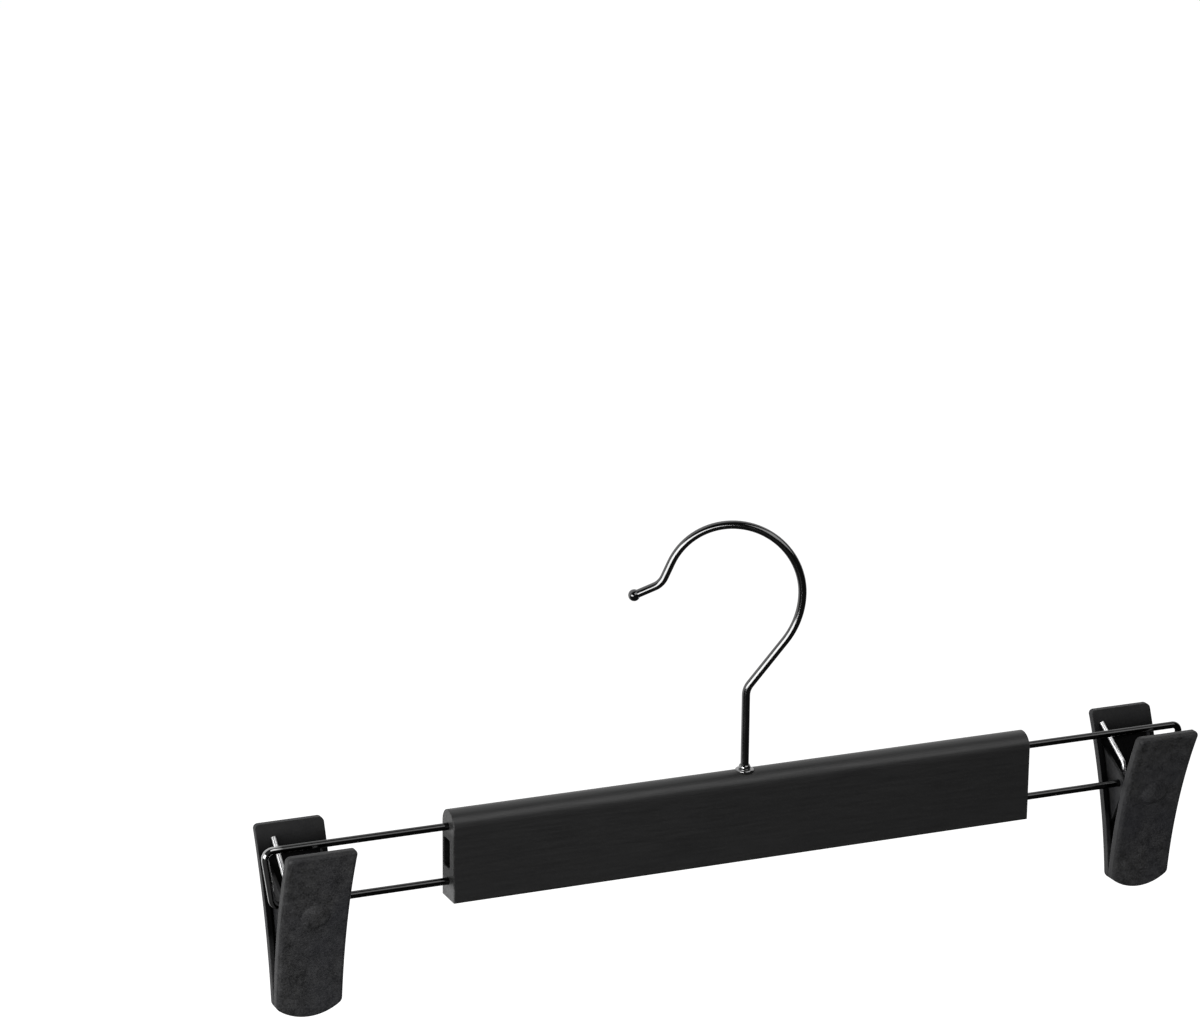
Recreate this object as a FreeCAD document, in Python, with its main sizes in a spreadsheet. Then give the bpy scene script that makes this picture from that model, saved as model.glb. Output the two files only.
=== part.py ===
import FreeCAD, Part
import math
import os
import Sketcher

# Skirt hanger: a swivel hook on a wooden bar, a wire frame at each end of the bar, and on each frame a
# spring clip that slides along the wires. The origin is where the hook rests on a rail, straight above
# the stem. X runs along the bar, the front faces -Y and Z points up. Lengths are millimetres and
# angles are in degrees.

V = FreeCAD.Vector
doc = FreeCAD.newDocument("skirt_hanger")
sheet = doc.addObject("Spreadsheet::Sheet", "Sizes")

SIZES = (
    # Bar
    ("bar_length", 225.0),
    ("bar_thickness", 11.0),
    ("bar_height", 32.6),
    ("bar_crown", 5.0),
    ("bar_edge_radius", 0.25),
    ("end_slot_width", 6.0),
    ("end_slot_height", 10.5),
    ("end_slot_depth", 12.0),
    ("end_slot_offset", 1.2),
    ("end_slot_corner_radius", 1.2),
    # Hook, in its own plane
    ("hook_turn_angle", 28.4),
    ("hook_wire_radius", 1.5),
    ("hook_drop", 87.65),
    ("hook_arc_radius", 24.0),
    ("hook_arc_offset", 5.0),
    ("hook_heel_radius", 30.0),
    ("hook_bend_radius", 7.0),
    ("hook_bend_height", 27.5),
    ("hook_mouth_rise", 9.5),
    ("hook_mouth_run", 5.9),
    ("hook_lip_radius", 7.0),
    ("hook_tip_reach", 39.9),
    ("hook_tip_drop", 2.9),
    ("hook_ball_radius", 2.15),
    ("hook_head_radius", 2.5),
    ("hook_head_height", 1.4),
    # Ferrule under the hook, and the washer that keeps the hook in
    ("ferrule_flange_radius", 3.4),
    ("ferrule_rim_height", 1.2),
    ("ferrule_edge_radius", 0.5),
    ("ferrule_neck_radius", 2.1),
    ("ferrule_dome_radius", 1.8),
    ("ferrule_lip", 0.3),
    ("ferrule_height", 2.7),
    ("ferrule_shank_radius", 2.4),
    ("ferrule_shank_length", 8.0),
    ("ferrule_seat_depth", 1.0),
    ("washer_radius", 4.0),
    ("washer_thickness", 1.0),
    ("washer_pocket_depth", 4.0),
    # Wire frames
    ("frame_wire_radius", 1.3),
    ("frame_upper_height", 26.6),
    ("frame_lower_height", 6.6),
    ("frame_socket_depth", 25.0),
    ("frame_reach", 178.6),
    ("frame_slant", 2.2),
    ("frame_bend_radius", 2.7),
    # Clips: heights count from the lower wire, which is their hinge pin
    ("left_clip_inset", 14.2),
    ("right_clip_inset", 15.4),
    ("jaw_top", 23.6),
    ("jaw_corner_drop", 36.6),
    ("jaw_tip_drop", 41.1),
    ("jaw_land_height", 6.5),
    ("jaw_top_half_width", 12.4),
    ("jaw_tip_half_width", 11.9),
    ("jaw_top_spread", 16.2),
    ("jaw_top_thickness", 4.0),
    ("jaw_tip_thickness", 3.4),
    ("jaw_bow_radius", 185.0),
    ("jaw_wall", 1.8),
    ("jaw_rim", 1.6),
    ("jaw_solid_top", 9.6),
    ("jaw_solid_tip", 16.5),
    ("jaw_top_corner_radius", 1.6),
    ("jaw_tip_corner_radius", 2.6),
    ("jaw_edge_radius", 1.4),
    ("boss_radius", 6.4),
    ("boss_depth", 2.8),
    ("boss_height", 1.1),
    ("boss_nod_angle", 12.0),
    ("ear_thickness", 1.1),
    ("ear_outer_reach", 9.2),
    ("ear_gap", 0.2),
    ("ear_nose_radius", 3.6),
    ("ear_top", 11.6),
    ("ear_tip_drop", 18.0),
    ("ear_root_depth", 6.0),
    # Clip springs
    ("spring_wire_radius", 0.85),
    ("spring_coil_radius", 2.4),
    ("spring_leg_reach", 5.85),
    ("spring_leg_rise", 6.6),
    ("spring_knee_radius", 5.0),
    ("spring_foot_height", 19.6),
    ("spring_foot_reach", 8.3),
    # Clearances
    ("running_gap", 0.06),
    ("glue_gap", 0.03),
    ("stem_gap", 0.4),
    ("tip_gap", 0.15),
    ("rest_gap", 0.1),
    ("overrun", 5.0),
)

# The odd half turn brings the legs out on opposite sides of the wire
SPRING_TURNS = 4.5
QUARTERS_PER_TURN = 4
GAP_SAMPLES_PER_ARC = 6

# What tells a jaw's faces and edges apart
MAIN_FACE_SHARE = 0.2
PARALLEL_SHARE = 0.999

for number, (alias, value) in enumerate(SIZES, start=1):
    sheet.set("A%d" % number, alias)
    sheet.set("B%d" % number, str(value))
    sheet.setAlias("B%d" % number, alias)
doc.recompute()


class Size:
    """A size that is known both as a number and as an expression on the sheet."""

    def __init__(self, text, value):
        self.text = text
        self.value = value

    def __neg__(self):
        return Size("(-1 * %s)" % self.text, -self.value)

    def __add__(self, other):
        other = as_size(other)
        return Size("(%s + %s)" % (self.text, other.text), self.value + other.value)

    def __sub__(self, other):
        other = as_size(other)
        return Size("(%s - %s)" % (self.text, other.text), self.value - other.value)

    def __mul__(self, other):
        other = as_size(other)
        return Size("(%s * %s)" % (self.text, other.text), self.value * other.value)

    def __truediv__(self, other):
        other = as_size(other)
        return Size("(%s / %s)" % (self.text, other.text), self.value / other.value)


def as_size(other):
    if isinstance(other, Size):
        return other
    return Size(str(other), other)


def size(alias):
    return Size("Sizes.%s" % alias, float(sheet.get(alias)))


def root(square):
    return Size("sqrt(%s)" % square.text, math.sqrt(square.value))


def bow_radius(half_width, rise):
    """Radius of the arc that spans twice half_width and rises by rise."""
    return (half_width * half_width + rise * rise) / (rise * 2)


ZERO = as_size(0)
OVERRUN = size("overrun")

# Places that several pieces share
BAR_TOP = -size("hook_drop")
BAR_BOTTOM = BAR_TOP - size("bar_height")
LOWER_WIRE = BAR_BOTTOM + size("frame_lower_height")
HOOK_INNER_RADIUS = size("hook_arc_radius") - size("hook_wire_radius")
HOOK_OFFSET = size("hook_arc_offset")
HOOK_CENTRE_DROP = root(HOOK_INNER_RADIUS * HOOK_INNER_RADIUS - HOOK_OFFSET * HOOK_OFFSET)
WASHER_LOW = size("washer_pocket_depth") - size("washer_thickness")


# Sketch helpers

def plane_of(body, role):
    for feature in body.Origin.OriginFeatures:
        if feature.Role == role:
            return feature
    raise ValueError("no plane " + role)


def new_body(name):
    body = doc.addObject("PartDesign::Body", name)
    body.Label = name
    return body


def new_sketch(body, name, role, lift=None):
    sketch = body.newObject("Sketcher::SketchObject", name)
    sketch.AttachmentSupport = [(plane_of(body, role), "")]
    sketch.MapMode = "FlatFace"
    if lift is not None:
        sketch.AttachmentOffset = FreeCAD.Placement(V(0, 0, lift.value), FreeCAD.Rotation())
        sketch.setExpression("AttachmentOffset.Base.z", lift.text)
    return sketch


def bind(sketch, constraint, length):
    row = sketch.addConstraint(constraint)
    sketch.setExpression("Constraints[%d]" % row, length.text)


def pin(sketch, geometry, point, x=None, y=None):
    """Hold a point of a sketch at x and y, either of which may be left free."""
    for kind, axis, length in (("DistanceX", -2, x), ("DistanceY", -1, y)):
        if length is None:
            continue
        if length.value == 0:
            sketch.addConstraint(Sketcher.Constraint("PointOnObject", geometry, point, axis))
        else:
            bind(sketch, Sketcher.Constraint(kind, -1, 1, geometry, point, length.value), length)


def add_line(sketch, start, end):
    return sketch.addGeometry(Part.LineSegment(V(*start), V(*end)), False)


def add_arc(sketch, centre, start, end, turns_left):
    """Add an arc from start to end; the return names its index, its start point and its end point."""
    radius = math.dist(centre, start)
    first, last = (start, end) if turns_left else (end, start)
    angles = [math.atan2(point[1] - centre[1], point[0] - centre[0]) for point in (first, last)]
    if angles[1] < angles[0]:
        angles[1] += 2 * math.pi
    circle = Part.Circle(V(*centre), V(0, 0, 1), radius)
    index = sketch.addGeometry(Part.ArcOfCircle(circle, *angles), False)
    return (index, 1, 2) if turns_left else (index, 2, 1)


def bow_centre(start, end, radius, turns_left):
    """Centre of the arc of under half a circle from start to end."""
    chord = (end[0] - start[0], end[1] - start[1])
    length = math.hypot(*chord)
    offset = math.sqrt(radius * radius - length * length / 4)
    side = 1 if turns_left else -1
    return (
        (start[0] + end[0]) / 2 - side * offset * chord[1] / length,
        (start[1] + end[1]) / 2 + side * offset * chord[0] / length,
    )


def outline(sketch, corners, bows=None):
    """Draw a closed outline through corners; bows gives the radius and turn of the edges that are arcs."""
    bows = bows or {}
    places = [(x.value, y.value) for x, y in corners]
    edges = []
    for number, start in enumerate(places):
        end = places[(number + 1) % len(places)]
        if number in bows:
            radius, turns_left = bows[number]
            centre = bow_centre(start, end, radius.value, turns_left)
            edges.append(add_arc(sketch, centre, start, end, turns_left))
        else:
            edges.append((add_line(sketch, start, end), 1, 2))
    for number, (index, first, last) in enumerate(edges):
        following = edges[(number + 1) % len(edges)]
        sketch.addConstraint(Sketcher.Constraint("Coincident", index, last, following[0], following[1]))
    for number, (index, first, last) in enumerate(edges):
        pin(sketch, index, first, *corners[number])
        if number in bows:
            radius = bows[number][0]
            bind(sketch, Sketcher.Constraint("Radius", index, radius.value), radius)


def circle(sketch, x, y, radius):
    index = sketch.addGeometry(Part.Circle(V(x.value, y.value), V(0, 0, 1), radius.value), False)
    pin(sketch, index, 3, x, y)
    bind(sketch, Sketcher.Constraint("Radius", index, radius.value), radius)


def smooth_join(sketch, edge, following):
    sketch.addConstraint(Sketcher.Constraint("Tangent", edge[0], edge[2], following[0], following[1]))


# Feature helpers

def pad(body, sketch, name, length, symmetric=False):
    feature = body.newObject("PartDesign::Pad", name)
    feature.Profile = sketch
    feature.SideType = "Symmetric" if symmetric else "One side"
    feature.setExpression("Length", length.text)
    doc.recompute()
    return feature


def pocket(body, sketch, name, length=None, symmetric=False, upward=False):
    """Cut a sketch out of a body, right through where no length is given, and make sure that it cuts."""
    doc.recompute()
    before = body.Shape.Volume
    feature = body.newObject("PartDesign::Pocket", name)
    feature.Profile = sketch
    feature.SideType = "Symmetric" if symmetric else "One side"
    feature.Reversed = upward
    if length is None:
        feature.Type = "ThroughAll"
    else:
        feature.setExpression("Length", length.text)
    doc.recompute()
    if body.Shape.Volume >= before:
        raise ValueError(name + " cuts nothing")
    return feature


def fillet(body, name, base, edge_names, radius):
    feature = body.newObject("PartDesign::Fillet", name)
    feature.Base = (base, edge_names)
    feature.setExpression("Radius", radius.text)
    doc.recompute()
    return feature


def revolve(body, sketch, name):
    feature = body.newObject("PartDesign::Revolution", name)
    feature.Profile = sketch
    feature.ReferenceAxis = (sketch, ["V_Axis"])
    feature.Angle = 360
    doc.recompute()
    return feature


def sweep(body, profile, path, name):
    feature = body.newObject("PartDesign::AdditivePipe", name)
    feature.Profile = profile
    feature.Spine = path
    doc.recompute()
    return feature


def place(body, x=ZERO, z=ZERO, half_turn=False):
    """Set a body down at x and z, turned to face the other way where half_turn is true."""
    angle = 180 if half_turn else 0
    body.Placement = FreeCAD.Placement(V(x.value, 0, z.value), FreeCAD.Rotation(V(0, 0, 1), angle))
    body.setExpression("Placement.Base.x", x.text)
    body.setExpression("Placement.Base.z", z.text)


# Bar: flat sides and underside, crowned top, wire sockets and a slot in each end

def edges_below_crown(shape):
    """Names of the bar's edges, less the two long ones where its sides run into the crown."""
    names = []
    for number, edge in enumerate(shape.Edges, start=1):
        middle = edge.CenterOfMass
        if abs(middle.x) > shape.BoundBox.XMax / 2 or middle.z < shape.BoundBox.Center.z:
            names.append("Edge%d" % number)
    return names


def make_bar():
    body = new_body("bar")
    half = size("bar_thickness") / 2
    shoulder = size("bar_height") - size("bar_crown")
    section = new_sketch(body, "bar_section", "YZ_Plane")
    corners = [(-half, ZERO), (half, ZERO), (half, shoulder), (-half, shoulder)]
    outline(section, corners, {2: (bow_radius(half, size("bar_crown")), True)})
    blank = pad(body, section, "bar_length", size("bar_length"), symmetric=True)
    fillet(body, "bar_edges", blank, edges_below_crown(body.Shape), size("bar_edge_radius"))

    end = size("bar_length") / 2
    socket_radius = size("frame_wire_radius") + size("glue_gap")
    sockets = new_sketch(body, "socket_outlines", "YZ_Plane", end)
    circle(sockets, ZERO, size("frame_upper_height"), socket_radius)
    circle(sockets, ZERO, size("frame_lower_height"), socket_radius)
    socket_cut = pocket(body, sockets, "wire_sockets", size("frame_socket_depth"))

    slot = new_sketch(body, "slot_outline", "YZ_Plane", end)
    corner = size("end_slot_corner_radius")
    slot_middle = (size("frame_upper_height") + size("frame_lower_height")) / 2
    front = size("end_slot_offset") - size("end_slot_width") / 2
    rear = size("end_slot_offset") + size("end_slot_width") / 2
    low = slot_middle - size("end_slot_height") / 2
    high = slot_middle + size("end_slot_height") / 2
    corners = [
        (front + corner, low),
        (rear - corner, low),
        (rear, low + corner),
        (rear, high - corner),
        (rear - corner, high),
        (front + corner, high),
        (front, high - corner),
        (front, low + corner),
    ]
    outline(slot, corners, {number: (corner, True) for number in (1, 3, 5, 7)})
    slot_cut = pocket(body, slot, "end_slot", size("end_slot_depth"))

    other_end = body.newObject("PartDesign::Mirrored", "other_end")
    other_end.Originals = [socket_cut, slot_cut]
    other_end.MirrorPlane = (plane_of(body, "YZ_Plane"), [""])
    body.Tip = other_end
    doc.recompute()

    stem = new_sketch(body, "stem_outline", "XY_Plane")
    circle(stem, ZERO, ZERO, size("hook_wire_radius") + size("stem_gap"))
    pocket(body, stem, "stem_hole", upward=True)
    well = new_sketch(body, "washer_outline", "XY_Plane")
    circle(well, ZERO, ZERO, size("washer_radius") + size("glue_gap"))
    pocket(body, well, "washer_pocket", size("washer_pocket_depth"), upward=True)
    shank = new_sketch(body, "shank_outline", "XY_Plane", size("bar_height"))
    circle(shank, ZERO, ZERO, size("ferrule_shank_radius") + size("glue_gap"))
    pocket(body, shank, "shank_hole", size("ferrule_seat_depth") + size("ferrule_shank_length"))
    seat = new_sketch(body, "seat_outline", "XY_Plane", size("bar_height"))
    circle(seat, ZERO, ZERO, size("ferrule_flange_radius") + size("glue_gap"))
    pocket(body, seat, "ferrule_seat", size("ferrule_seat_depth"))
    place(body, z=BAR_BOTTOM)
    return body


# Ferrule: a flanged, domed bush that guides the stem where it leaves the bar

def make_ferrule():
    body = new_body("hook_ferrule")
    bore = size("hook_wire_radius") + size("running_gap")
    edge = size("ferrule_edge_radius")
    profile = new_sketch(body, "ferrule_profile", "XZ_Plane")
    corners = [
        (bore, -size("ferrule_shank_length")),
        (size("ferrule_shank_radius"), -size("ferrule_shank_length")),
        (size("ferrule_shank_radius"), ZERO),
        (size("ferrule_flange_radius"), ZERO),
        (size("ferrule_flange_radius"), size("ferrule_rim_height") - edge),
        (size("ferrule_flange_radius") - edge, size("ferrule_rim_height")),
        (size("ferrule_neck_radius"), size("ferrule_rim_height")),
        (bore + size("ferrule_lip"), size("ferrule_height")),
        (bore, size("ferrule_height")),
    ]
    outline(profile, corners, {4: (edge, True), 6: (size("ferrule_dome_radius"), True)})
    revolve(body, profile, "ferrule_turned")
    place(body, z=BAR_TOP - size("ferrule_seat_depth"))
    return body


# Washer: carries the bar on the hook's head, up inside the bar

def make_washer():
    body = new_body("hook_washer")
    ring = new_sketch(body, "washer_ring", "XY_Plane")
    circle(ring, ZERO, ZERO, size("washer_radius"))
    circle(ring, ZERO, ZERO, size("hook_wire_radius") + size("running_gap"))
    pad(body, ring, "washer_thickness", size("washer_thickness"))
    place(body, z=BAR_BOTTOM + WASHER_LOW)
    return body


# Hook: stem, bend, heel, arc over the rail, lip and ball tip, all in the plane x and height

def crossing_tangent(centre, radius, other_centre, other_radius):
    """Touching points of the line that leaves a right-hand bend and runs into a left-hand one."""
    across = (other_centre[0] - centre[0], other_centre[1] - centre[1])
    distance = math.hypot(*across)
    lean = math.atan2(across[1], across[0]) + math.acos((radius + other_radius) / distance)
    way = (math.cos(lean), math.sin(lean))
    return (
        (centre[0] + radius * way[0], centre[1] + radius * way[1]),
        (other_centre[0] - other_radius * way[0], other_centre[1] - other_radius * way[1]),
    )


def make_hook():
    body = new_body("hook")
    arc_x = -HOOK_OFFSET
    arc_z = -HOOK_CENTRE_DROP
    arc_radius = size("hook_arc_radius")
    bend_radius = size("hook_bend_radius")
    bend_z = BAR_TOP + size("hook_bend_height")
    stem_low = BAR_BOTTOM + WASHER_LOW - size("rest_gap")
    tip = (-size("hook_tip_reach"), arc_z - size("hook_tip_drop"))

    arc_centre = (arc_x.value, arc_z.value)
    bend_centre = (bend_radius.value, bend_z.value)
    heel_radius = size("hook_heel_radius")
    heel_top = (arc_centre[0] + arc_radius.value, arc_centre[1])
    heel_centre = (heel_top[0] - heel_radius.value, arc_centre[1])
    leave, meet = crossing_tangent(bend_centre, bend_radius.value, heel_centre, heel_radius.value)
    rise = size("hook_mouth_rise").value
    mouth = (arc_x.value - math.sqrt(arc_radius.value ** 2 - rise ** 2), arc_z.value + rise)
    outward = ((mouth[0] - arc_x.value) / arc_radius.value, rise / arc_radius.value)
    run = size("hook_mouth_run").value
    lip_start = (mouth[0] - outward[1] * run, mouth[1] + outward[0] * run)
    lip_radius = size("hook_lip_radius").value
    lip_centre = (lip_start[0] + outward[0] * lip_radius, lip_start[1] + outward[1] * lip_radius)
    to_tip = (tip[0].value - lip_centre[0], tip[1].value - lip_centre[1])
    lean = math.atan2(to_tip[1], to_tip[0]) + math.acos(lip_radius / math.hypot(*to_tip))
    lip_end = (lip_centre[0] + lip_radius * math.cos(lean), lip_centre[1] + lip_radius * math.sin(lean))

    path = new_sketch(body, "hook_path", "XZ_Plane")
    stem = (add_line(path, (0, stem_low.value), (0, bend_z.value)), 1, 2)
    bend = add_arc(path, bend_centre, (0, bend_z.value), leave, False)
    rising = (add_line(path, leave, meet), 1, 2)
    heel = add_arc(path, heel_centre, meet, heel_top, True)
    arc = add_arc(path, arc_centre, heel_top, mouth, True)
    falling = (add_line(path, mouth, lip_start), 1, 2)
    lip = add_arc(path, lip_centre, lip_start, lip_end, False)
    end = (add_line(path, lip_end, (tip[0].value, tip[1].value)), 1, 2)
    edges = [stem, bend, rising, heel, arc, falling, lip, end]
    for edge, following in zip(edges, edges[1:]):
        smooth_join(path, edge, following)
    pin(path, stem[0], 1, ZERO, stem_low)
    pin(path, stem[0], 2, ZERO, bend_z)
    bind(path, Sketcher.Constraint("Radius", bend[0], bend_radius.value), bend_radius)
    pin(path, arc[0], 3, arc_x, arc_z)
    bind(path, Sketcher.Constraint("Radius", arc[0], arc_radius.value), arc_radius)
    pin(path, arc[0], arc[1], y=arc_z)
    bind(path, Sketcher.Constraint("Radius", heel[0], heel_radius.value), heel_radius)
    pin(path, falling[0], 1, y=arc_z + size("hook_mouth_rise"))
    bind(path, Sketcher.Constraint("Distance", falling[0], run), size("hook_mouth_run"))
    bind(path, Sketcher.Constraint("Radius", lip[0], lip_radius), size("hook_lip_radius"))
    pin(path, end[0], 2, *tip)

    section = new_sketch(body, "hook_section", "XY_Plane", stem_low)
    circle(section, ZERO, ZERO, size("hook_wire_radius"))
    sweep(body, section, path, "hook_wire")

    head = new_sketch(body, "head_outline", "XY_Plane", stem_low - size("hook_head_height"))
    circle(head, ZERO, ZERO, size("hook_head_radius"))
    pad(body, head, "hook_head", size("hook_head_height"))

    ball = body.newObject("PartDesign::AdditiveSphere", "hook_ball")
    ball.AttachmentSupport = [(plane_of(body, "XZ_Plane"), "")]
    ball.MapMode = "FlatFace"
    ball.AttachmentOffset = FreeCAD.Placement(V(tip[0].value, tip[1].value, 0), FreeCAD.Rotation())
    ball.setExpression("AttachmentOffset.Base.x", tip[0].text)
    ball.setExpression("AttachmentOffset.Base.y", tip[1].text)
    ball.setExpression("Radius", size("hook_ball_radius").text)
    doc.recompute()

    turn = size("hook_turn_angle")
    body.Placement = FreeCAD.Placement(V(0, 0, 0), FreeCAD.Rotation(V(0, 0, -1), turn.value))
    body.setExpression("Placement.Rotation.Angle", turn.text)
    return body


# Wire frames: a long U whose two legs are glued into an end of the bar

def make_frame(name, half_turn):
    body = new_body(name)
    radius = size("frame_bend_radius")
    inner = size("bar_length") / 2 - size("frame_socket_depth")
    upper = size("frame_upper_height")
    lower = size("frame_lower_height")
    upper_centre = size("frame_reach") - radius
    lower_centre = upper_centre - size("frame_slant")
    tops = (upper_centre.value, (upper - radius).value)
    bottoms = (lower_centre.value, (lower + radius).value)
    down = (bottoms[0] - tops[0], bottoms[1] - tops[1])
    reach = math.hypot(*down)
    outward = (-down[1] / reach * radius.value, down[0] / reach * radius.value)
    leg_top = (tops[0] + outward[0], tops[1] + outward[1])
    leg_low = (bottoms[0] + outward[0], bottoms[1] + outward[1])

    path = new_sketch(body, name + "_path", "XZ_Plane")
    upper_leg = (add_line(path, (inner.value, upper.value), (tops[0], upper.value)), 1, 2)
    upper_bend = add_arc(path, tops, (tops[0], upper.value), leg_top, False)
    end_leg = (add_line(path, leg_top, leg_low), 1, 2)
    lower_bend = add_arc(path, bottoms, leg_low, (bottoms[0], lower.value), False)
    lower_leg = (add_line(path, (bottoms[0], lower.value), (inner.value, lower.value)), 1, 2)
    edges = [upper_leg, upper_bend, end_leg, lower_bend, lower_leg]
    for edge, following in zip(edges, edges[1:]):
        smooth_join(path, edge, following)
    pin(path, upper_leg[0], 1, inner, upper)
    path.addConstraint(Sketcher.Constraint("Horizontal", upper_leg[0]))
    pin(path, lower_leg[0], 2, inner, lower)
    path.addConstraint(Sketcher.Constraint("Horizontal", lower_leg[0]))
    for bend, centre in ((upper_bend, upper_centre), (lower_bend, lower_centre)):
        pin(path, bend[0], 3, x=centre)
        bind(path, Sketcher.Constraint("Radius", bend[0], radius.value), radius)

    section = new_sketch(body, name + "_section", "YZ_Plane", inner)
    circle(section, ZERO, upper, size("frame_wire_radius"))
    sweep(body, section, path, name + "_wire")
    place(body, z=BAR_BOTTOM, half_turn=half_turn)
    return body


# Jaws: bowed shells with two ears that hinge on the lower wire. Both jaws of a clip are the same piece,
# set face to face, so one ear of each lies outside the other's.

def jaw_face():
    """Upper and lower end of the bowed outer face, seen from the side."""
    upper = (-size("jaw_top_spread") - size("jaw_top_thickness"), size("jaw_top"))
    lower = (-size("jaw_tip_thickness"), -size("jaw_tip_drop"))
    return upper, lower


def jaw_floor():
    """Upper and lower end of the hollow's floor, which follows the outer face a wall behind it."""
    upper, lower = jaw_face()
    lean = (upper[0] - lower[0]) / (upper[1] - lower[1])
    sag_share = (upper[1] - lower[1]) / (size("jaw_bow_radius") * 2)
    below = size("jaw_solid_top")
    above = size("jaw_solid_tip")
    wall = size("jaw_wall")
    floor_upper = (upper[0] - lean * below + wall + sag_share * below, upper[1] - below)
    floor_lower = (lower[0] + lean * above + wall + sag_share * above, lower[1] + above)
    return floor_upper, floor_lower


def jaw_inside():
    """Upper and lower end of the bowed inner face, above the land that grips the cloth."""
    upper = (-size("jaw_top_spread"), size("jaw_top"))
    lower = (-size("tip_gap"), size("jaw_land_height") - size("jaw_tip_drop"))
    return upper, lower


def bowed_place(ends, height):
    """Point on a bowed face at a height, and how far the face leans there, in degrees."""
    upper, lower = [(y.value, z.value) for y, z in ends]
    radius = size("jaw_bow_radius").value
    centre = bow_centre(upper, lower, radius, False)
    lean = math.asin((height - centre[1]) / radius)
    return centre[0] + radius * math.cos(lean), math.degrees(lean)


def touching_point(x, y, radius, left):
    """Where a line from x, y touches a circle round the hinge, on the chosen side of the way there."""
    lean = math.acos(radius / math.hypot(x, y))
    angle = math.atan2(y, x) + (lean if left else -lean)
    return (radius * math.cos(angle), radius * math.sin(angle))


def add_ear(body, name, lift):
    nose = size("ear_nose_radius")
    inner_face = -size("jaw_top_spread") * size("ear_top") / size("jaw_top")
    top = (inner_face - size("ear_root_depth"), size("ear_top"))
    low = (-size("jaw_tip_thickness") - size("jaw_rim"), -size("ear_tip_drop"))
    top_place = (top[0].value, top[1].value)
    low_place = (low[0].value, low[1].value)
    nose_low = touching_point(*low_place, nose.value, True)
    nose_top = touching_point(*top_place, nose.value, False)
    sketch = new_sketch(body, name + "_outline", "YZ_Plane", lift)
    under = (add_line(sketch, low_place, nose_low), 1, 2)
    round_nose = add_arc(sketch, (0, 0), nose_low, nose_top, True)
    over = (add_line(sketch, nose_top, top_place), 1, 2)
    back = (add_line(sketch, top_place, low_place), 1, 2)
    smooth_join(sketch, under, round_nose)
    smooth_join(sketch, round_nose, over)
    for edge, following in ((over, back), (back, under)):
        sketch.addConstraint(Sketcher.Constraint("Coincident", edge[0], edge[2], following[0], following[1]))
    sketch.addConstraint(Sketcher.Constraint("Coincident", round_nose[0], 3, -1, 1))
    bind(sketch, Sketcher.Constraint("Radius", round_nose[0], nose.value), nose)
    pin(sketch, back[0], 1, *top)
    pin(sketch, back[0], 2, *low)
    pad(body, sketch, name, size("ear_thickness"))


def add_boss(body, name):
    """Low dome on the outer face in front of the hinge, nodding down so that its lower edge is the steeper."""
    face_y, lean = bowed_place(jaw_face(), 0)
    sunk = size("boss_depth") - size("boss_height")
    boss = body.newObject("PartDesign::AdditiveEllipsoid", name)
    boss.AttachmentSupport = [(plane_of(body, "XZ_Plane"), "")]
    boss.MapMode = "FlatFace"
    tilt = FreeCAD.Rotation(V(1, 0, 0), lean - size("boss_nod_angle").value)
    seat = V(0, 0, -face_y) - tilt.multVec(V(0, 0, sunk.value))
    boss.AttachmentOffset = FreeCAD.Placement(seat, tilt)
    boss.setExpression("Radius1", size("boss_depth").text)
    boss.setExpression("Radius2", size("boss_radius").text)
    boss.setExpression("Radius3", size("boss_radius").text)
    doc.recompute()


def edges_along_y(shape):
    """Names and heights of the straight edges that run through the jaw's thickness."""
    names = []
    for number, edge in enumerate(shape.Edges, start=1):
        ends = [vertex.Point for vertex in edge.Vertexes]
        if len(ends) == 2:
            way = (ends[1] - ends[0]).normalize()
            if abs(way.y) > PARALLEL_SHARE:
                names.append(("Edge%d" % number, ends[0].z))
    return names


def outer_face_edges(shape):
    """Names of the edges round the bowed outer face."""
    large = [face for face in shape.Faces if face.Area > shape.Area * MAIN_FACE_SHARE]
    outer = min(large, key=lambda face: face.CenterOfMass.y)
    wanted = [edge.hashCode() for edge in outer.Edges]
    numbered = enumerate(shape.Edges, start=1)
    return ["Edge%d" % number for number, edge in numbered if edge.hashCode() in wanted]


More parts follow.
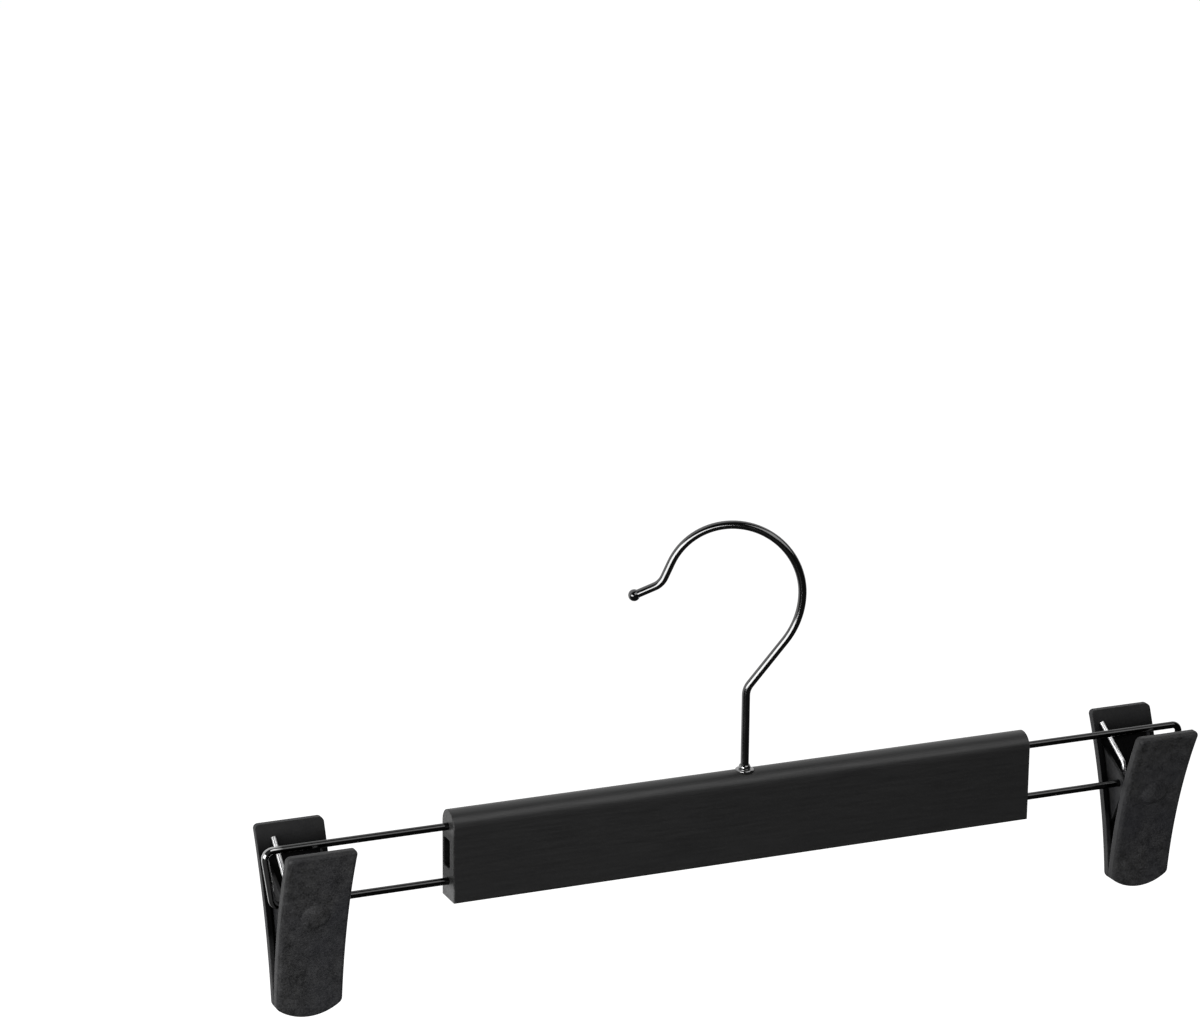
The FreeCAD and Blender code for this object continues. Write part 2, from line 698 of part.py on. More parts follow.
def make_jaw(name, x, half_turn):
    body = new_body(name)
    top = size("jaw_top")
    tip = -size("jaw_tip_drop")
    bow = size("jaw_bow_radius")
    face = jaw_face()
    inside = jaw_inside()
    side = new_sketch(body, name + "_side", "YZ_Plane")
    corners = [
        (-size("tip_gap"), tip),
        inside[1],
        inside[0],
        face[0],
        face[1],
    ]
    outline(side, corners, {1: (bow, True), 3: (bow, False)})
    pad(body, side, name + "_bow", size("jaw_top_half_width") * 2, symmetric=True)

    half_tip = size("jaw_tip_half_width")
    half_top = size("jaw_top_half_width")
    corner = -size("jaw_corner_drop")
    front = new_sketch(body, name + "_front", "XZ_Plane")
    corners = [(-half_tip, corner), (half_tip, corner), (half_top, top), (-half_top, top)]
    outline(front, corners, {0: (bow_radius(half_tip, corner - tip), True)})
    waste = half_top + OVERRUN
    outline(front, [
        (-waste, tip - OVERRUN),
        (waste, tip - OVERRUN),
        (waste, top + OVERRUN),
        (-waste, top + OVERRUN),
    ])
    shaped = pocket(body, front, name + "_outline", symmetric=True)

    top_edges = [edge for edge, height in edges_along_y(body.Shape) if height > 0]
    shaped = fillet(body, name + "_top_corners", shaped, top_edges, size("jaw_top_corner_radius"))
    tip_edges = [edge for edge, height in edges_along_y(body.Shape) if height < -size("ear_tip_drop").value]
    shaped = fillet(body, name + "_tip_corners", shaped, tip_edges, size("jaw_tip_corner_radius"))
    fillet(body, name + "_edges", shaped, outer_face_edges(body.Shape), size("jaw_edge_radius"))

    add_boss(body, name + "_boss")

    floor_upper, floor_lower = jaw_floor()
    hollow = new_sketch(body, name + "_hollow", "YZ_Plane")
    corners = [(OVERRUN, floor_lower[1]), (OVERRUN, floor_upper[1]), floor_upper, floor_lower]
    outline(hollow, corners, {2: (bow, False)})
    pocket(body, hollow, name + "_cavity", (half_tip - size("jaw_rim")) * 2, symmetric=True)

    outer_ear = size("ear_outer_reach") - size("ear_thickness")
    inner_ear = outer_ear - size("ear_gap")
    add_ear(body, name + "_outer_ear", outer_ear)
    add_ear(body, name + "_inner_ear", -inner_ear)
    pin_hole = new_sketch(body, name + "_pin_outline", "YZ_Plane")
    circle(pin_hole, ZERO, ZERO, size("frame_wire_radius") + size("running_gap"))
    pocket(body, pin_hole, name + "_pin_hole", symmetric=True)
    place(body, x, LOWER_WIRE, half_turn)
    return body


# Clip springs: a coil on the lower wire, whose legs press the two handles apart

def arc_to(start, way, end):
    """Arc from start, leaving along way, to end; its middle lies on the bulging side of the chord."""
    chord = end - start
    along = FreeCAD.Vector(chord).normalize()
    turn = math.acos(max(-1.0, min(1.0, way.dot(along))))
    bulge = (way - along * way.dot(along)).normalize()
    middle = (start + end) / 2 + bulge * (chord.Length / 2 * math.tan(turn / 2))
    return Part.Arc(start, middle, end)


def biarc(start, start_way, end, end_way):
    """Two arcs that join smoothly and keep the given directions at both ends."""
    chord = end - start
    both = start_way + end_way
    open_angle = 2 * (1 - start_way.dot(end_way))
    reach = chord.dot(both)
    step = (math.sqrt(reach * reach + open_angle * chord.dot(chord)) - reach) / open_angle
    joint = (start + start_way * step + end - end_way * step) / 2
    joint_way = (end - end_way * step - start - start_way * step).normalize()
    return [arc_to(start, start_way, joint), arc_to(joint, joint_way, end)]


def spring_leg(across, side, foot_y):
    """Points and knee of a leg: up beside the coil, then out and aside to the inner face of a handle."""
    coil = size("spring_coil_radius").value
    rise = size("spring_leg_rise").value
    knee = size("spring_knee_radius").value
    corner = V(across, side * coil, rise)
    foot_x = math.copysign(size("spring_foot_reach").value, across)
    foot = V(foot_x, side * foot_y, size("spring_foot_height").value)
    out = (foot - corner).normalize()
    up = V(0, 0, 1)
    back = knee * math.tan(up.getAngle(out) / 2)
    knee_start = corner - up * back
    knee_end = corner + out * back
    return [V(across, side * coil, 0), knee_start, knee_end, foot]


def helix_point(turns, pitch, coil, start_x):
    """Point and direction on the coil, which starts going down behind the wire."""
    angle = turns * 2 * math.pi
    point = V(start_x + pitch * turns, coil * math.cos(angle), -coil * math.sin(angle))
    way = V(pitch / (2 * math.pi), -coil * math.sin(angle), -coil * math.cos(angle)).normalize()
    return point, way


def make_spring(name, x):
    coil = size("spring_coil_radius").value
    wire_radius = size("spring_wire_radius").value
    reach = size("spring_leg_reach").value
    pitch = 2 * reach / SPRING_TURNS
    face_y, lean = bowed_place(jaw_inside(), size("spring_foot_height").value)
    foot_y = -face_y - (wire_radius + size("rest_gap").value) / math.cos(math.radians(lean))

    rear = spring_leg(-reach, 1, foot_y)
    front = spring_leg(reach, -1, foot_y)
    curves = [Part.LineSegment(rear[3], rear[2]), arc_to(rear[2], (rear[2] - rear[3]).normalize(), rear[1])]
    curves.append(Part.LineSegment(rear[1], rear[0]))
    steps = round(SPRING_TURNS * QUARTERS_PER_TURN)
    places = [helix_point(number / QUARTERS_PER_TURN, pitch, coil, -reach) for number in range(steps + 1)]
    places[0] = (rear[0], V(0, 0, -1))
    places[-1] = (front[0], V(0, 0, 1))
    for (start, start_way), (end, end_way) in zip(places, places[1:]):
        curves += biarc(start, start_way, end, end_way)
    curves.append(Part.LineSegment(front[0], front[1]))
    curves.append(arc_to(front[1], V(0, 0, 1), front[2]))
    curves.append(Part.LineSegment(front[2], front[3]))

    path = Part.Wire([curve.toShape() for curve in curves])
    start_way = (rear[2] - rear[3]).normalize()
    section = Part.Wire(Part.makeCircle(wire_radius, rear[3], start_way))
    shell = Part.BRepOffsetAPI.MakePipeShell(path)
    shell.add(section)
    shell.build()
    shell.makeSolid()
    feature = doc.addObject("Part::Feature", name)
    feature.Label = name
    feature.Shape = shell.shape()
    feature.Placement = FreeCAD.Placement(V(x.value, 0, LOWER_WIRE.value), FreeCAD.Rotation())

    points = []
    for edge in path.OrderedEdges:
        points += edge.discretize(GAP_SAMPLES_PER_ARC)[:-1]
    half_a_turn = math.pi * coil
    travelled = [0.0]
    for first, second in zip(points, points[1:]):
        travelled.append(travelled[-1] + first.distanceToPoint(second))
    gap = min(
        points[a].distanceToPoint(points[b]) - 2 * wire_radius
        for a in range(len(points))
        for b in range(a + 1, len(points))
        if travelled[b] - travelled[a] > half_a_turn
    )
    volume_share = feature.Shape.Volume / (path.Length * math.pi * wire_radius ** 2)
    print("%s: least gap to itself %.2f mm, volume %.4f of section times length" % (name, gap, volume_share))
    return feature


pieces = [make_bar(), make_ferrule(), make_washer(), make_hook()]
for hand, sign in (("left", -1), ("right", 1)):
    centre = (size("frame_reach") - size(hand + "_clip_inset")) * sign
    pieces.append(make_frame(hand + "_frame", half_turn=sign < 0))
    pieces.append(make_jaw(hand + "_front_jaw", centre, half_turn=False))
    pieces.append(make_jaw(hand + "_rear_jaw", centre, half_turn=True))
    pieces.append(make_spring(hand + "_spring", centre))

doc.recompute()
for thing in doc.Objects:
    if "Invalid" in thing.State or "Error" in thing.State:
        raise RuntimeError("%s is %s" % (thing.Name, thing.State))
for piece in pieces:
    if piece.Shape.isNull() or not piece.Shape.isValid() or len(piece.Shape.Solids) != 1:
        raise RuntimeError(piece.Label + " is not one sound solid")

os.makedirs("parts", exist_ok=True)
for piece in pieces:
    piece.Shape.exportStep("parts/%s.step" % piece.Label)
    print(piece.Label, round(piece.Shape.Volume, 1), piece.Shape.BoundBox)
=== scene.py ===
import math

import bpy
from mathutils import Matrix, Quaternion, Vector


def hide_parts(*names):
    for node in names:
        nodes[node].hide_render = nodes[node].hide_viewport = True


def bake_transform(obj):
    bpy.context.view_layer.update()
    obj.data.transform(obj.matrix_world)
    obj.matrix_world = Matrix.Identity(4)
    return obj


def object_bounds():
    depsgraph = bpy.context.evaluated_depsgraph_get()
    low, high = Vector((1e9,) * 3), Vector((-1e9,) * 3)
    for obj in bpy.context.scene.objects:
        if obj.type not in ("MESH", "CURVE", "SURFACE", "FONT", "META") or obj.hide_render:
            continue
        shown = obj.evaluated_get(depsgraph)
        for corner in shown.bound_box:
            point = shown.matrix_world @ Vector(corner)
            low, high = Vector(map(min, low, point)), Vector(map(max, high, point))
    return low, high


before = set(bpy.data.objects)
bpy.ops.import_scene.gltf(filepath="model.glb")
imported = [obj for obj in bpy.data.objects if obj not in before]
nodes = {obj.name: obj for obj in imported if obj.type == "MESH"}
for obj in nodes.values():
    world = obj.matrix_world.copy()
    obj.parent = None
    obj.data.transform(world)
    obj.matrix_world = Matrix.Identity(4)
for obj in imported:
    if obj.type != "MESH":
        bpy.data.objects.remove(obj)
cad_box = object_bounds()

# Lengths are in metres and powers in watts, noise cells are counted per metre along X, Y and Z, and a pair
# that isn't a size is where a range starts and ends

# Camera, fitted to the photograph: photo width and focal length in pixels, sensor width in millimetres
PHOTO_WIDTH = 1200
FOCAL_LENGTH = 3917.4
SENSOR_WIDTH = 36.0
CAMERA_PLACE = Vector((-0.5695, -1.1805, 0.37675))
CAMERA_YAW = math.radians(23.48)
CAMERA_PITCH = math.radians(15.75)
CAMERA_ROLL = math.radians(0.53)

# Stage: the hanger hangs above a pale floor, before a white backdrop; mirrors show a dim room in front, which
# gives way to white over a range of Y, of directions in the world (turn) and of places on the floor (depth)
BLACK = (0.0, 0.0, 0.0, 1.0)
WHITE = (1.0, 1.0, 1.0, 1.0)
FLOOR_DROP = 0.25
FLOOR_REACH = 30.0
FLOOR_COLOUR = (0.82, 0.82, 0.82, 1.0)
FLOOR_ROUGHNESS = 0.9
FLOOR_LIFT = 0.8
AMBIENT = 0.25
ROOM_LEVEL = 0.03
ROOM_TURN = (-0.15, 0.3)
ROOM_DEPTH = (0.1, 0.7)

# Lamps, both aimed at the part: a size is a width and a height
LAMP_AIM = (0.0, 0.0, -0.09)
KEY_PLACE = (-0.985, -0.615, 0.02)
KEY_SIZE = (1.05, 0.44)
KEY_POWER = 12.0
KEY_ROLL = math.radians(-18)
SHOULDER_PLACE = (0.4, -0.92, 0.87)
SHOULDER_SIZE = (1.3, 0.9)
SHOULDER_POWER = 6.5

# Shared by the node trees: the core is where most of a noise's values lie
UNIT = (0.0, 1.0)
FALLING = (1.0, 0.0)
NOISE_CORE = (0.3, 0.7)
EDGE_ROUNDING = 0.0006
BEVEL_SAMPLES = 6

# Bar: the outline by which its material tells end faces and hollows from the sides
BAR_HALF_LENGTH = 0.1125
BAR_HALF_DEPTH = 0.0055
BAR_TOP = -0.08765
BAR_BASE = -0.12025
BAR_CROWN = 0.005
BAR_SKIN = 0.0004
END_FADE = (0.0006, 0.0001)
END_SPAN = (BAR_HALF_LENGTH - END_FADE[0], BAR_HALF_LENGTH - END_FADE[1])

# Bar: lacquer with a fine grain and rubbed clouds
LACQUER_DARK = (0.008, 0.008, 0.0082, 1.0)
LACQUER_LIGHT = (0.0145, 0.0145, 0.0147, 1.0)
LACQUER_RUBBED = (0.017, 0.017, 0.017, 1.0)
LACQUER_SPECULAR = 0.55
LACQUER_ROUGHNESS = (0.38, 0.5)
LACQUER_RELIEF = 0.000025
GRAIN_CELLS = (60.0, 1100.0, 1100.0)
GRAIN_DETAIL = 4.0
CLOUD_CELLS = (25.0, 60.0, 60.0)
CLOUD_SPAN = (0.4, 0.75)
CLOUD_SHARE = (0.0, 0.35)
# Painted shade on the faces inside the bar's slot and holes
HOLLOW_PAINTED_SHADE = (0.0012, 0.0012, 0.0012, 1.0)

# Bar: end faces with open pores, with painted light and shade by height: full colour and sheen below the
# lower span of heights, darkened by painted shade and dull between the two spans, and part of both above the
# higher one
PORE_DARK = (0.024, 0.024, 0.024, 1.0)
PORE_LIGHT = (0.08, 0.08, 0.08, 1.0)
PORE_CELLS = (900.0, 1900.0, 1900.0)
PORE_DETAIL = 2.0
END_LOW_SPAN = (-0.1165, -0.112)
END_HIGH_SPAN = (-0.097, -0.093)
END_HIGH_SHEEN_AND_LIGHT = 0.42
END_PAINTED_SHADE = 0.65
END_SPECULAR = (0.08, 0.55)

# Hook, ferrule and frames: black nickel between two grey levels, with a painted highlight on the left frame's
# end
HOOK_SHADES = (0.1, 0.14)
FERRULE_SHADES = (0.2, 0.26)
FRAME_SHADES = (0.045, 0.07)
NICKEL_ROUGHNESS = (0.08, 0.14)
NICKEL_RELIEF = 0.000008
SMEAR_CELLS = (220.0, 220.0, 120.0)
PAINTED_HIGHLIGHT_SPAN = (-0.1755, -0.1725)
PAINTED_HIGHLIGHT_NICKEL = (0.4, 0.4, 0.4, 1.0)

# Jaws: grained plastic, with painted shade on the inner side, fully below the handle's span of heights and in
# part above it
PLASTIC_DARK = (0.0075, 0.0075, 0.008, 1.0)
PLASTIC_LIGHT = (0.035, 0.035, 0.036, 1.0)
PLASTIC_TINT = (0.014, 0.0145, 0.019, 1.0)
PLASTIC_SPECULAR = (0.35, 0.06)
PLASTIC_ROUGHNESS = (0.48, 0.66)
PLASTIC_RELIEF = 0.00005
SPARK_CELLS = (1500.0, 1500.0, 1500.0)
SPARK_SHARE = 0.5
BLOTCH_CELLS = (280.0, 280.0, 280.0)
BLOTCH_DETAIL = 4.0
BLOTCH_ROUGHNESS = 0.65
SPECKLE_SPAN = (0.36, 0.64)
FLOW_CELLS = (70.0, 70.0, 45.0)
FLOW_SPAN = (0.42, 0.7)
FLOW_SHARE = (0.0, 0.5)
INNER_PAINTED_SHADE = (0.002, 0.002, 0.0022, 1.0)
INNER_SPAN = (-0.004, 0.0)
HANDLE_SPAN = (-0.1, -0.091)
HANDLE_SHADE = 0.75

# Springs and washer: bright drawn steel
STEEL_DARK = (0.75, 0.75, 0.76, 1.0)
STEEL_LIGHT = (0.92, 0.92, 0.92, 1.0)
STEEL_ROUGHNESS = (0.3, 0.42)
STEEL_RELIEF = 0.00001
DRAWN_CELLS = (700.0, 700.0, 700.0)
DRAWN_DETAIL = 2.0

# Springs: radii of wire, coil and knee, and places from the pivot on the lower wire
CLIP_PLACES = {"left": -0.1644, "right": 0.1632}
PIVOT_HEIGHT = -0.11365
SPRING_WIRE = 0.00085
SPRING_COIL = 0.0024
SPRING_KNEE = 0.005
SPRING_TURNS = 4.5
SPRING_REACH = 0.00585
SPRING_RISE = 0.0066
SPRING_FOOT_REACH = {"left": 0.0067, "right": 0.0096}
SPRING_FOOT_DEPTH = 0.01337
SPRING_FOOT_HEIGHT = 0.0196
LEG_TURNS = {"rear": 0.0, "front": math.pi}
COIL_STEPS = 24
KNEE_STEPS = 8
WIRE_RESOLUTION = 5


def link_object(name, data):
    made = bpy.data.objects.new(name, data)
    bpy.context.scene.collection.objects.link(made)
    return made


def make_camera():
    data = bpy.data.cameras.new("camera")
    data.sensor_fit = "HORIZONTAL"
    data.sensor_width = SENSOR_WIDTH
    data.lens = FOCAL_LENGTH / PHOTO_WIDTH * SENSOR_WIDTH
    data.clip_end = 2 * FLOOR_REACH
    camera = link_object("camera", data)
    level = math.cos(CAMERA_PITCH)
    forward = Vector((math.sin(CAMERA_YAW) * level, math.cos(CAMERA_YAW) * level, -math.sin(CAMERA_PITCH)))
    right = Vector((math.cos(CAMERA_YAW), -math.sin(CAMERA_YAW), 0.0))
    up = right.cross(forward)
    tilt = Matrix.Rotation(-CAMERA_ROLL, 3, forward)
    axes = Matrix((tilt @ right, tilt @ up, -forward)).transposed()
    camera.matrix_world = Matrix.Translation(CAMERA_PLACE) @ axes.to_4x4()
    bpy.context.scene.camera = camera


# Node helpers

def add_node(tree, kind, **settings):
    node = tree.nodes.new(kind)
    for name, value in settings.items():
        setattr(node, name, value)
    return node


def feed(tree, socket, value):
    """Give a socket another node's output, or a plain value."""
    if isinstance(value, bpy.types.NodeSocket):
        tree.links.new(value, socket)
    else:
        socket.default_value = value


def math_node(tree, operation, first, second=0.0):
    node = add_node(tree, "ShaderNodeMath", operation=operation)
    feed(tree, node.inputs[0], first)
    feed(tree, node.inputs[1], second)
    return node.outputs[0]


def ranged(tree, value, span, goal, smooth=False):
    """Value from one range taken to another, and held at its ends."""
    node = add_node(tree, "ShaderNodeMapRange", interpolation_type="SMOOTHSTEP" if smooth else "LINEAR")
    feed(tree, node.inputs["Value"], value)
    feed(tree, node.inputs["From Min"], span[0])
    feed(tree, node.inputs["From Max"], span[1])
    feed(tree, node.inputs["To Min"], goal[0])
    feed(tree, node.inputs["To Max"], goal[1])
    return node.outputs["Result"]


def mixed(tree, share, first, second):
    node = add_node(tree, "ShaderNodeMix", data_type="RGBA")
    feed(tree, node.inputs["Factor"], share)
    feed(tree, node.inputs["A"], first)
    feed(tree, node.inputs["B"], second)
    return node.outputs["Result"]


def split(tree, vector):
    """Outputs named X, Y and Z for the parts of a vector."""
    node = add_node(tree, "ShaderNodeSeparateXYZ")
    feed(tree, node.inputs[0], vector)
    return node.outputs


def places(tree):
    """Row-frame place of the surface, as the piece stands at rest."""
    return add_node(tree, "ShaderNodeTexCoord").outputs["Object"]


def noise(tree, cells, detail=3.0, roughness=0.55):
    """Noise between 0 and 1 with the given number of cells per metre along X, Y and Z."""
    mapping = add_node(tree, "ShaderNodeMapping")
    feed(tree, mapping.inputs["Vector"], places(tree))
    mapping.inputs["Scale"].default_value = cells
    node = add_node(tree, "ShaderNodeTexNoise")
    feed(tree, node.inputs["Vector"], mapping.outputs["Vector"])
    node.inputs["Scale"].default_value = 1.0
    node.inputs["Detail"].default_value = detail
    node.inputs["Roughness"].default_value = roughness
    return node.outputs["Fac"]


def bumped(tree, height, depth, rounding=None):
    """Normal for a surface whose noise stands depth metres high, with its edges softened by rounding."""
    node = add_node(tree, "ShaderNodeBump")
    node.inputs["Strength"].default_value = 1.0
    node.inputs["Distance"].default_value = depth
    feed(tree, node.inputs["Height"], height)
    if rounding:
        bevel = add_node(tree, "ShaderNodeBevel", samples=BEVEL_SAMPLES)
        bevel.inputs["Radius"].default_value = rounding
        feed(tree, node.inputs["Normal"], bevel.outputs["Normal"])
    return node.outputs["Normal"]


def surface(name, metallic=0.0):
    """A new material, with its node tree and its shader."""
    material = bpy.data.materials.new(name)
    material.use_nodes = True
    tree = material.node_tree
    shader = tree.nodes["Principled BSDF"]
    shader.inputs["Metallic"].default_value = metallic
    return material, tree, shader


# Stage

def stage_level(tree, spread, coordinates, span):
    """Level of the stage: 1 for rays from the camera, spread for light that spreads and, for rays by way of
    a mirror or glass, 1 at the backdrop and the room's level in front of the part."""
    place = split(tree, add_node(tree, "ShaderNodeTexCoord").outputs[coordinates])
    around = ranged(tree, place["Y"], span, (ROOM_LEVEL, 1.0), smooth=True)
    path = add_node(tree, "ShaderNodeLightPath")
    mirrored = math_node(tree, "MAXIMUM", path.outputs["Is Glossy Ray"], path.outputs["Is Transmission Ray"])
    level = ranged(tree, mirrored, UNIT, (spread, around))
    return ranged(tree, path.outputs["Is Camera Ray"], UNIT, (level, 1.0))


def make_world():
    world = bpy.data.worlds.new("studio")
    world.use_nodes = True
    bpy.context.scene.world = world
    tree = world.node_tree
    background = tree.nodes["Background"]
    background.inputs["Color"].default_value = WHITE
    feed(tree, background.inputs["Strength"], stage_level(tree, AMBIENT, "Generated", ROOM_TURN))


def make_floor():
    height = cad_box[0][2] - FLOOR_DROP
    mesh = bpy.data.meshes.new("floor")
    outline = ((-1, -1), (1, -1), (1, 1), (-1, 1))
    corners = [(x * FLOOR_REACH, y * FLOOR_REACH, height) for x, y in outline]
    mesh.from_pydata(corners, [], [(0, 1, 2, 3)])
    floor = link_object("floor", mesh)
    material, tree, shader = surface("floor")
    shade = stage_level(tree, 1.0, "Object", ROOM_DEPTH)
    feed(tree, shader.inputs["Base Color"], mixed(tree, shade, BLACK, FLOOR_COLOUR))
    shader.inputs["Roughness"].default_value = FLOOR_ROUGHNESS
    shader.inputs["Specular IOR Level"].default_value = 0.0
    shader.inputs["Emission Color"].default_value = WHITE
    lift = math_node(tree, "MULTIPLY", stage_level(tree, 0.0, "Object", ROOM_DEPTH), FLOOR_LIFT)
    feed(tree, shader.inputs["Emission Strength"], lift)
    mesh.materials.append(material)


def add_lamp(name, place, size, power, roll=0.0):
    data = bpy.data.lights.new(name, "AREA")
    data.shape = "RECTANGLE"
    data.size, data.size_y = size
    data.energy = power
    lamp = link_object(name, data)
    lamp.location = place
    look = (Vector(LAMP_AIM) - Vector(place)).to_track_quat("-Z", "Y")
    lamp.rotation_euler = (look @ Quaternion((0.0, 0.0, 1.0), roll)).to_euler()


# Materials

def bar_lacquer():
    material, tree, shader = surface("bar_lacquer")
    grain = noise(tree, GRAIN_CELLS, GRAIN_DETAIL)
    cloud = noise(tree, CLOUD_CELLS)
    face = mixed(tree, grain, LACQUER_DARK, LACQUER_LIGHT)
    wear_and_painted_highlight = mixed(tree, ranged(tree, cloud, CLOUD_SPAN, CLOUD_SHARE), face, LACQUER_RUBBED)

    place = split(tree, places(tree))
    across = math_node(tree, "ABSOLUTE", place["Y"])
    below_crown = math_node(tree, "LESS_THAN", place["Z"], BAR_TOP - BAR_CROWN)
    above_base = math_node(tree, "GREATER_THAN", place["Z"], BAR_BASE + BAR_SKIN)
    within = math_node(tree, "LESS_THAN", across, BAR_HALF_DEPTH - BAR_SKIN)
    # Painted shade: faces inside the bar's outline, in its slot and holes, get a near-black colour
    hollow = math_node(tree, "MULTIPLY", within, math_node(tree, "MULTIPLY", below_crown, above_base))
    sides = mixed(tree, hollow, wear_and_painted_highlight, HOLLOW_PAINTED_SHADE)

    pores = noise(tree, PORE_CELLS, PORE_DETAIL)
    end_grain = mixed(tree, ranged(tree, pores, NOISE_CORE, UNIT), PORE_DARK, PORE_LIGHT)
    # Painted light and shade on the end faces: their colour is darkened between two heights and lighter below
    # and above them
    low_sheen_and_painted_light = ranged(tree, place["Z"], END_LOW_SPAN, FALLING, smooth=True)
    high_sheen_and_painted_light = ranged(tree, place["Z"], END_HIGH_SPAN, (0.0, END_HIGH_SHEEN_AND_LIGHT), smooth=True)
    sheen_and_painted_light = math_node(tree, "ADD", low_sheen_and_painted_light, high_sheen_and_painted_light)
    painted_end_shade = ranged(tree, sheen_and_painted_light, UNIT, (END_PAINTED_SHADE, 0.0))
    end_face = mixed(tree, painted_end_shade, end_grain, BLACK)
    end_specular = ranged(tree, sheen_and_painted_light, UNIT, END_SPECULAR)

    along = math_node(tree, "ABSOLUTE", place["X"])
    at_end = ranged(tree, along, END_SPAN, UNIT, smooth=True)
    specular = ranged(tree, at_end, UNIT, (LACQUER_SPECULAR, end_specular))
    relief = math_node(tree, "ADD", grain, math_node(tree, "MULTIPLY", at_end, pores))
    feed(tree, shader.inputs["Base Color"], mixed(tree, at_end, sides, end_face))
    feed(tree, shader.inputs["Specular IOR Level"], specular)
    feed(tree, shader.inputs["Roughness"], ranged(tree, grain, NOISE_CORE, LACQUER_ROUGHNESS))
    feed(tree, shader.inputs["Normal"], bumped(tree, relief, LACQUER_RELIEF, EDGE_ROUNDING))
    return material


def black_nickel(name, shades, painted_highlight_end=False):
    """Dark plating whose shade wanders between two grey levels, brightened at the left end as a painted
    highlight if asked.
    """
    material, tree, shader = surface(name, metallic=1.0)
    smear = noise(tree, SMEAR_CELLS)
    dark, light = [(shade, shade, shade, 1.0) for shade in shades]
    plating = mixed(tree, smear, dark, light)
    # Painted highlight: brighter plating at the left frame's end
    if painted_highlight_end:
        wear_and_painted_highlight = ranged(tree, split(tree, places(tree))["X"], PAINTED_HIGHLIGHT_SPAN, FALLING)
        plating = mixed(tree, wear_and_painted_highlight, plating, PAINTED_HIGHLIGHT_NICKEL)
    feed(tree, shader.inputs["Base Color"], plating)
    feed(tree, shader.inputs["Roughness"], ranged(tree, smear, NOISE_CORE, NICKEL_ROUGHNESS))
    feed(tree, shader.inputs["Normal"], bumped(tree, smear, NICKEL_RELIEF))
    return material


def painted_inner_shade(tree):
    """Share of painted shade: 0 on the faces that look away from the clip's middle, and more on those that
    look into it.
    """
    here = add_node(tree, "ShaderNodeTexCoord")
    place = split(tree, here.outputs["Object"])
    facing = split(tree, here.outputs["Normal"])
    outwards = math_node(tree, "MULTIPLY", place["Y"], facing["Y"])
    depth = ranged(tree, place["Z"], HANDLE_SPAN, (1.0, HANDLE_SHADE), smooth=True)
    return ranged(tree, outwards, INNER_SPAN, (depth, 0.0))


def jaw_plastic():
    material, tree, shader = surface("jaw_plastic")
    sparks = noise(tree, SPARK_CELLS)
    blotches = noise(tree, BLOTCH_CELLS, BLOTCH_DETAIL, BLOTCH_ROUGHNESS)
    flow = noise(tree, FLOW_CELLS)
    fine = math_node(tree, "MULTIPLY", sparks, SPARK_SHARE)
    coarse = math_node(tree, "MULTIPLY", blotches, 1.0 - SPARK_SHARE)
    speckle = ranged(tree, math_node(tree, "ADD", fine, coarse), SPECKLE_SPAN, UNIT)
    face = mixed(tree, speckle, PLASTIC_DARK, PLASTIC_LIGHT)
    tinted = mixed(tree, ranged(tree, flow, FLOW_SPAN, FLOW_SHARE), face, PLASTIC_TINT)
    # Painted shade: the faces inside the clip are coloured near black, darker towards the pivot
    inner_shade_share = painted_inner_shade(tree)
    specular = ranged(tree, inner_shade_share, (HANDLE_SHADE, 1.0), PLASTIC_SPECULAR)
    feed(tree, shader.inputs["Base Color"], mixed(tree, inner_shade_share, tinted, INNER_PAINTED_SHADE))
    feed(tree, shader.inputs["Specular IOR Level"], specular)
    feed(tree, shader.inputs["Roughness"], ranged(tree, sparks, NOISE_CORE, PLASTIC_ROUGHNESS))
    feed(tree, shader.inputs["Normal"], bumped(tree, sparks, PLASTIC_RELIEF, EDGE_ROUNDING))
    return material


def spring_steel():
    material, tree, shader = surface("spring_steel", metallic=1.0)
    drawn = noise(tree, DRAWN_CELLS, DRAWN_DETAIL)
    feed(tree, shader.inputs["Base Color"], mixed(tree, drawn, STEEL_DARK, STEEL_LIGHT))
    feed(tree, shader.inputs["Roughness"], ranged(tree, drawn, NOISE_CORE, STEEL_ROUGHNESS))
    feed(tree, shader.inputs["Normal"], bumped(tree, drawn, STEEL_RELIEF))
    return material


def dress(names, material):
    for name in names:
        slots = nodes[name].data.materials
        slots.clear()
        slots.append(material)
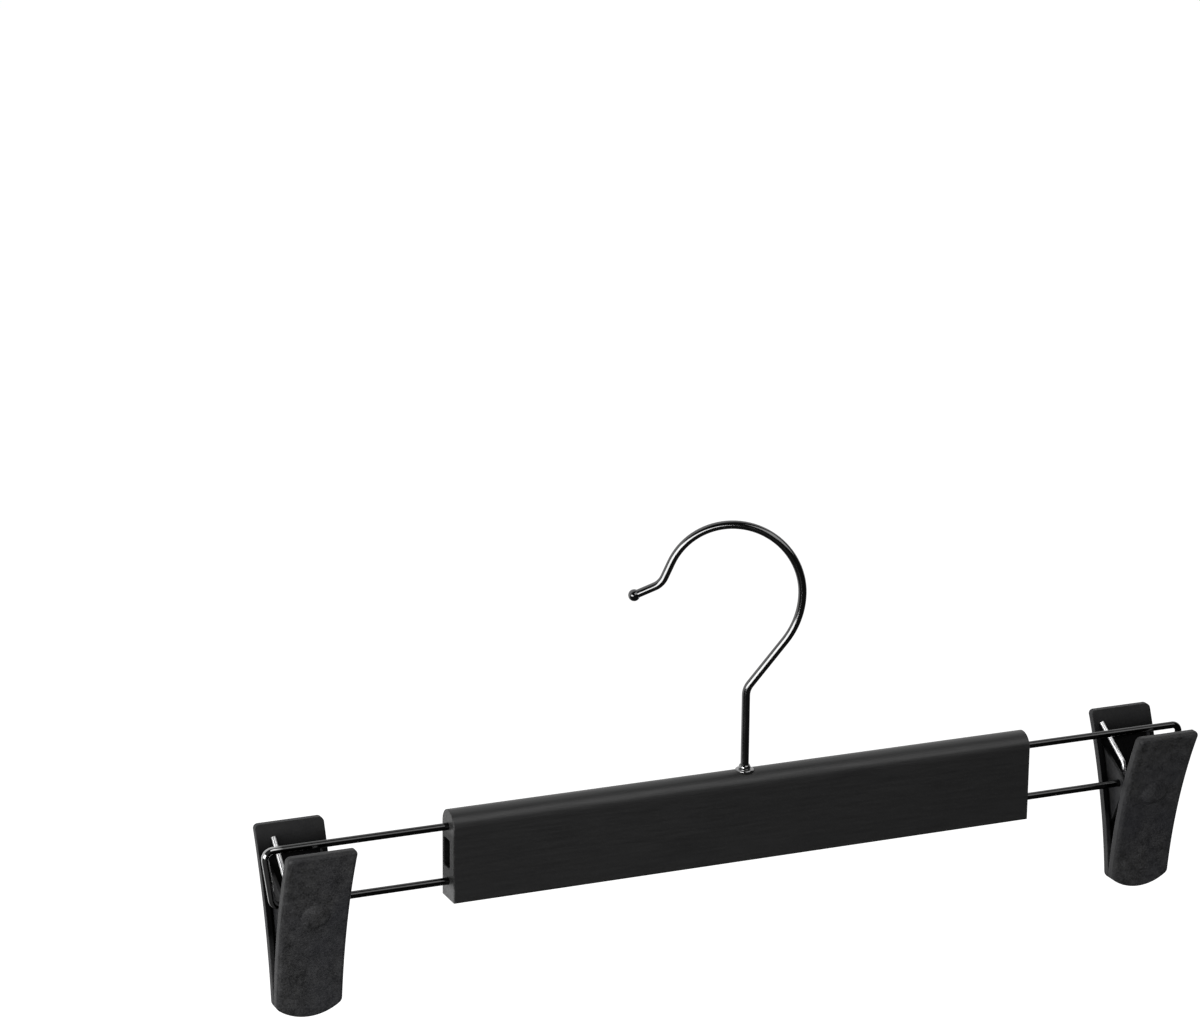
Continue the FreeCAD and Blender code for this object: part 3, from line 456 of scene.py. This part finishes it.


# Springs: each in two halves, each with half of the coil on the wire and the leg that reaches one jaw's
# handle

def spring_path(hand, jaw):
    """Points from the middle of the coil to the foot at that jaw's handle, from the pivot."""
    half_turns = SPRING_TURNS / 2
    points = []
    for number in range(round(half_turns * COIL_STEPS) + 1):
        turned = (half_turns - number / COIL_STEPS) * 2 * math.pi
        across = -SPRING_REACH * number / COIL_STEPS / half_turns
        points.append(Vector((across, SPRING_COIL * math.cos(turned), -SPRING_COIL * math.sin(turned))))
    corner = Vector((-SPRING_REACH, SPRING_COIL, SPRING_RISE))
    foot = Vector((-SPRING_FOOT_REACH[hand], SPRING_FOOT_DEPTH, SPRING_FOOT_HEIGHT))
    out = (foot - corner).normalized()
    back = SPRING_KNEE * math.tan(Vector((0.0, 0.0, 1.0)).angle(out) / 2)
    start = corner - Vector((0.0, 0.0, back))
    end = corner + out * back
    for number in range(KNEE_STEPS + 1):
        share = number / KNEE_STEPS
        points.append(start * (1 - share) ** 2 + corner * 2 * share * (1 - share) + end * share ** 2)
    points.append(foot)
    turn = Matrix.Rotation(LEG_TURNS[jaw], 3, "Z")
    return [turn @ point for point in points]


def make_spring(hand, jaw, material):
    name = "%s_%s_spring_half" % (hand, jaw)
    data = bpy.data.curves.new(name, "CURVE")
    data.dimensions = "3D"
    data.bevel_depth = SPRING_WIRE
    data.bevel_resolution = WIRE_RESOLUTION
    data.use_fill_caps = True
    spline = data.splines.new("POLY")
    points = spring_path(hand, jaw)
    spline.points.add(len(points) - 1)
    pivot = Vector((CLIP_PLACES[hand], 0.0, PIVOT_HEIGHT))
    for point, place in zip(spline.points, points):
        point.co = (*(pivot + place), 1.0)
    tube = link_object(name + "_path", data)
    mesh = bpy.data.meshes.new_from_object(tube.evaluated_get(bpy.context.evaluated_depsgraph_get()))
    bpy.data.objects.remove(tube)
    mesh.name = name
    mesh.materials.clear()
    mesh.materials.append(material)
    mesh.shade_smooth()
    piece = link_object(name, mesh)
    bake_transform(piece)
    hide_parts(hand + "_spring")


make_camera()
make_world()
make_floor()
add_lamp("key", KEY_PLACE, KEY_SIZE, KEY_POWER, KEY_ROLL)
add_lamp("shoulder", SHOULDER_PLACE, SHOULDER_SIZE, SHOULDER_POWER)

steel = spring_steel()
dress(["bar"], bar_lacquer())
dress(["hook"], black_nickel("hook_nickel", HOOK_SHADES))
dress(["hook_ferrule"], black_nickel("ferrule_nickel", FERRULE_SHADES))
dress(["left_frame", "right_frame"], black_nickel("frame_nickel", FRAME_SHADES, painted_highlight_end=True))
dress(["hook_washer", "left_spring", "right_spring"], steel)
dress(["%s_%s_jaw" % (hand, jaw) for hand in CLIP_PLACES for jaw in LEG_TURNS], jaw_plastic())
for hand in CLIP_PLACES:
    for jaw in LEG_TURNS:
        make_spring(hand, jaw, steel)

bpy.context.scene.view_settings.view_transform = "Standard"
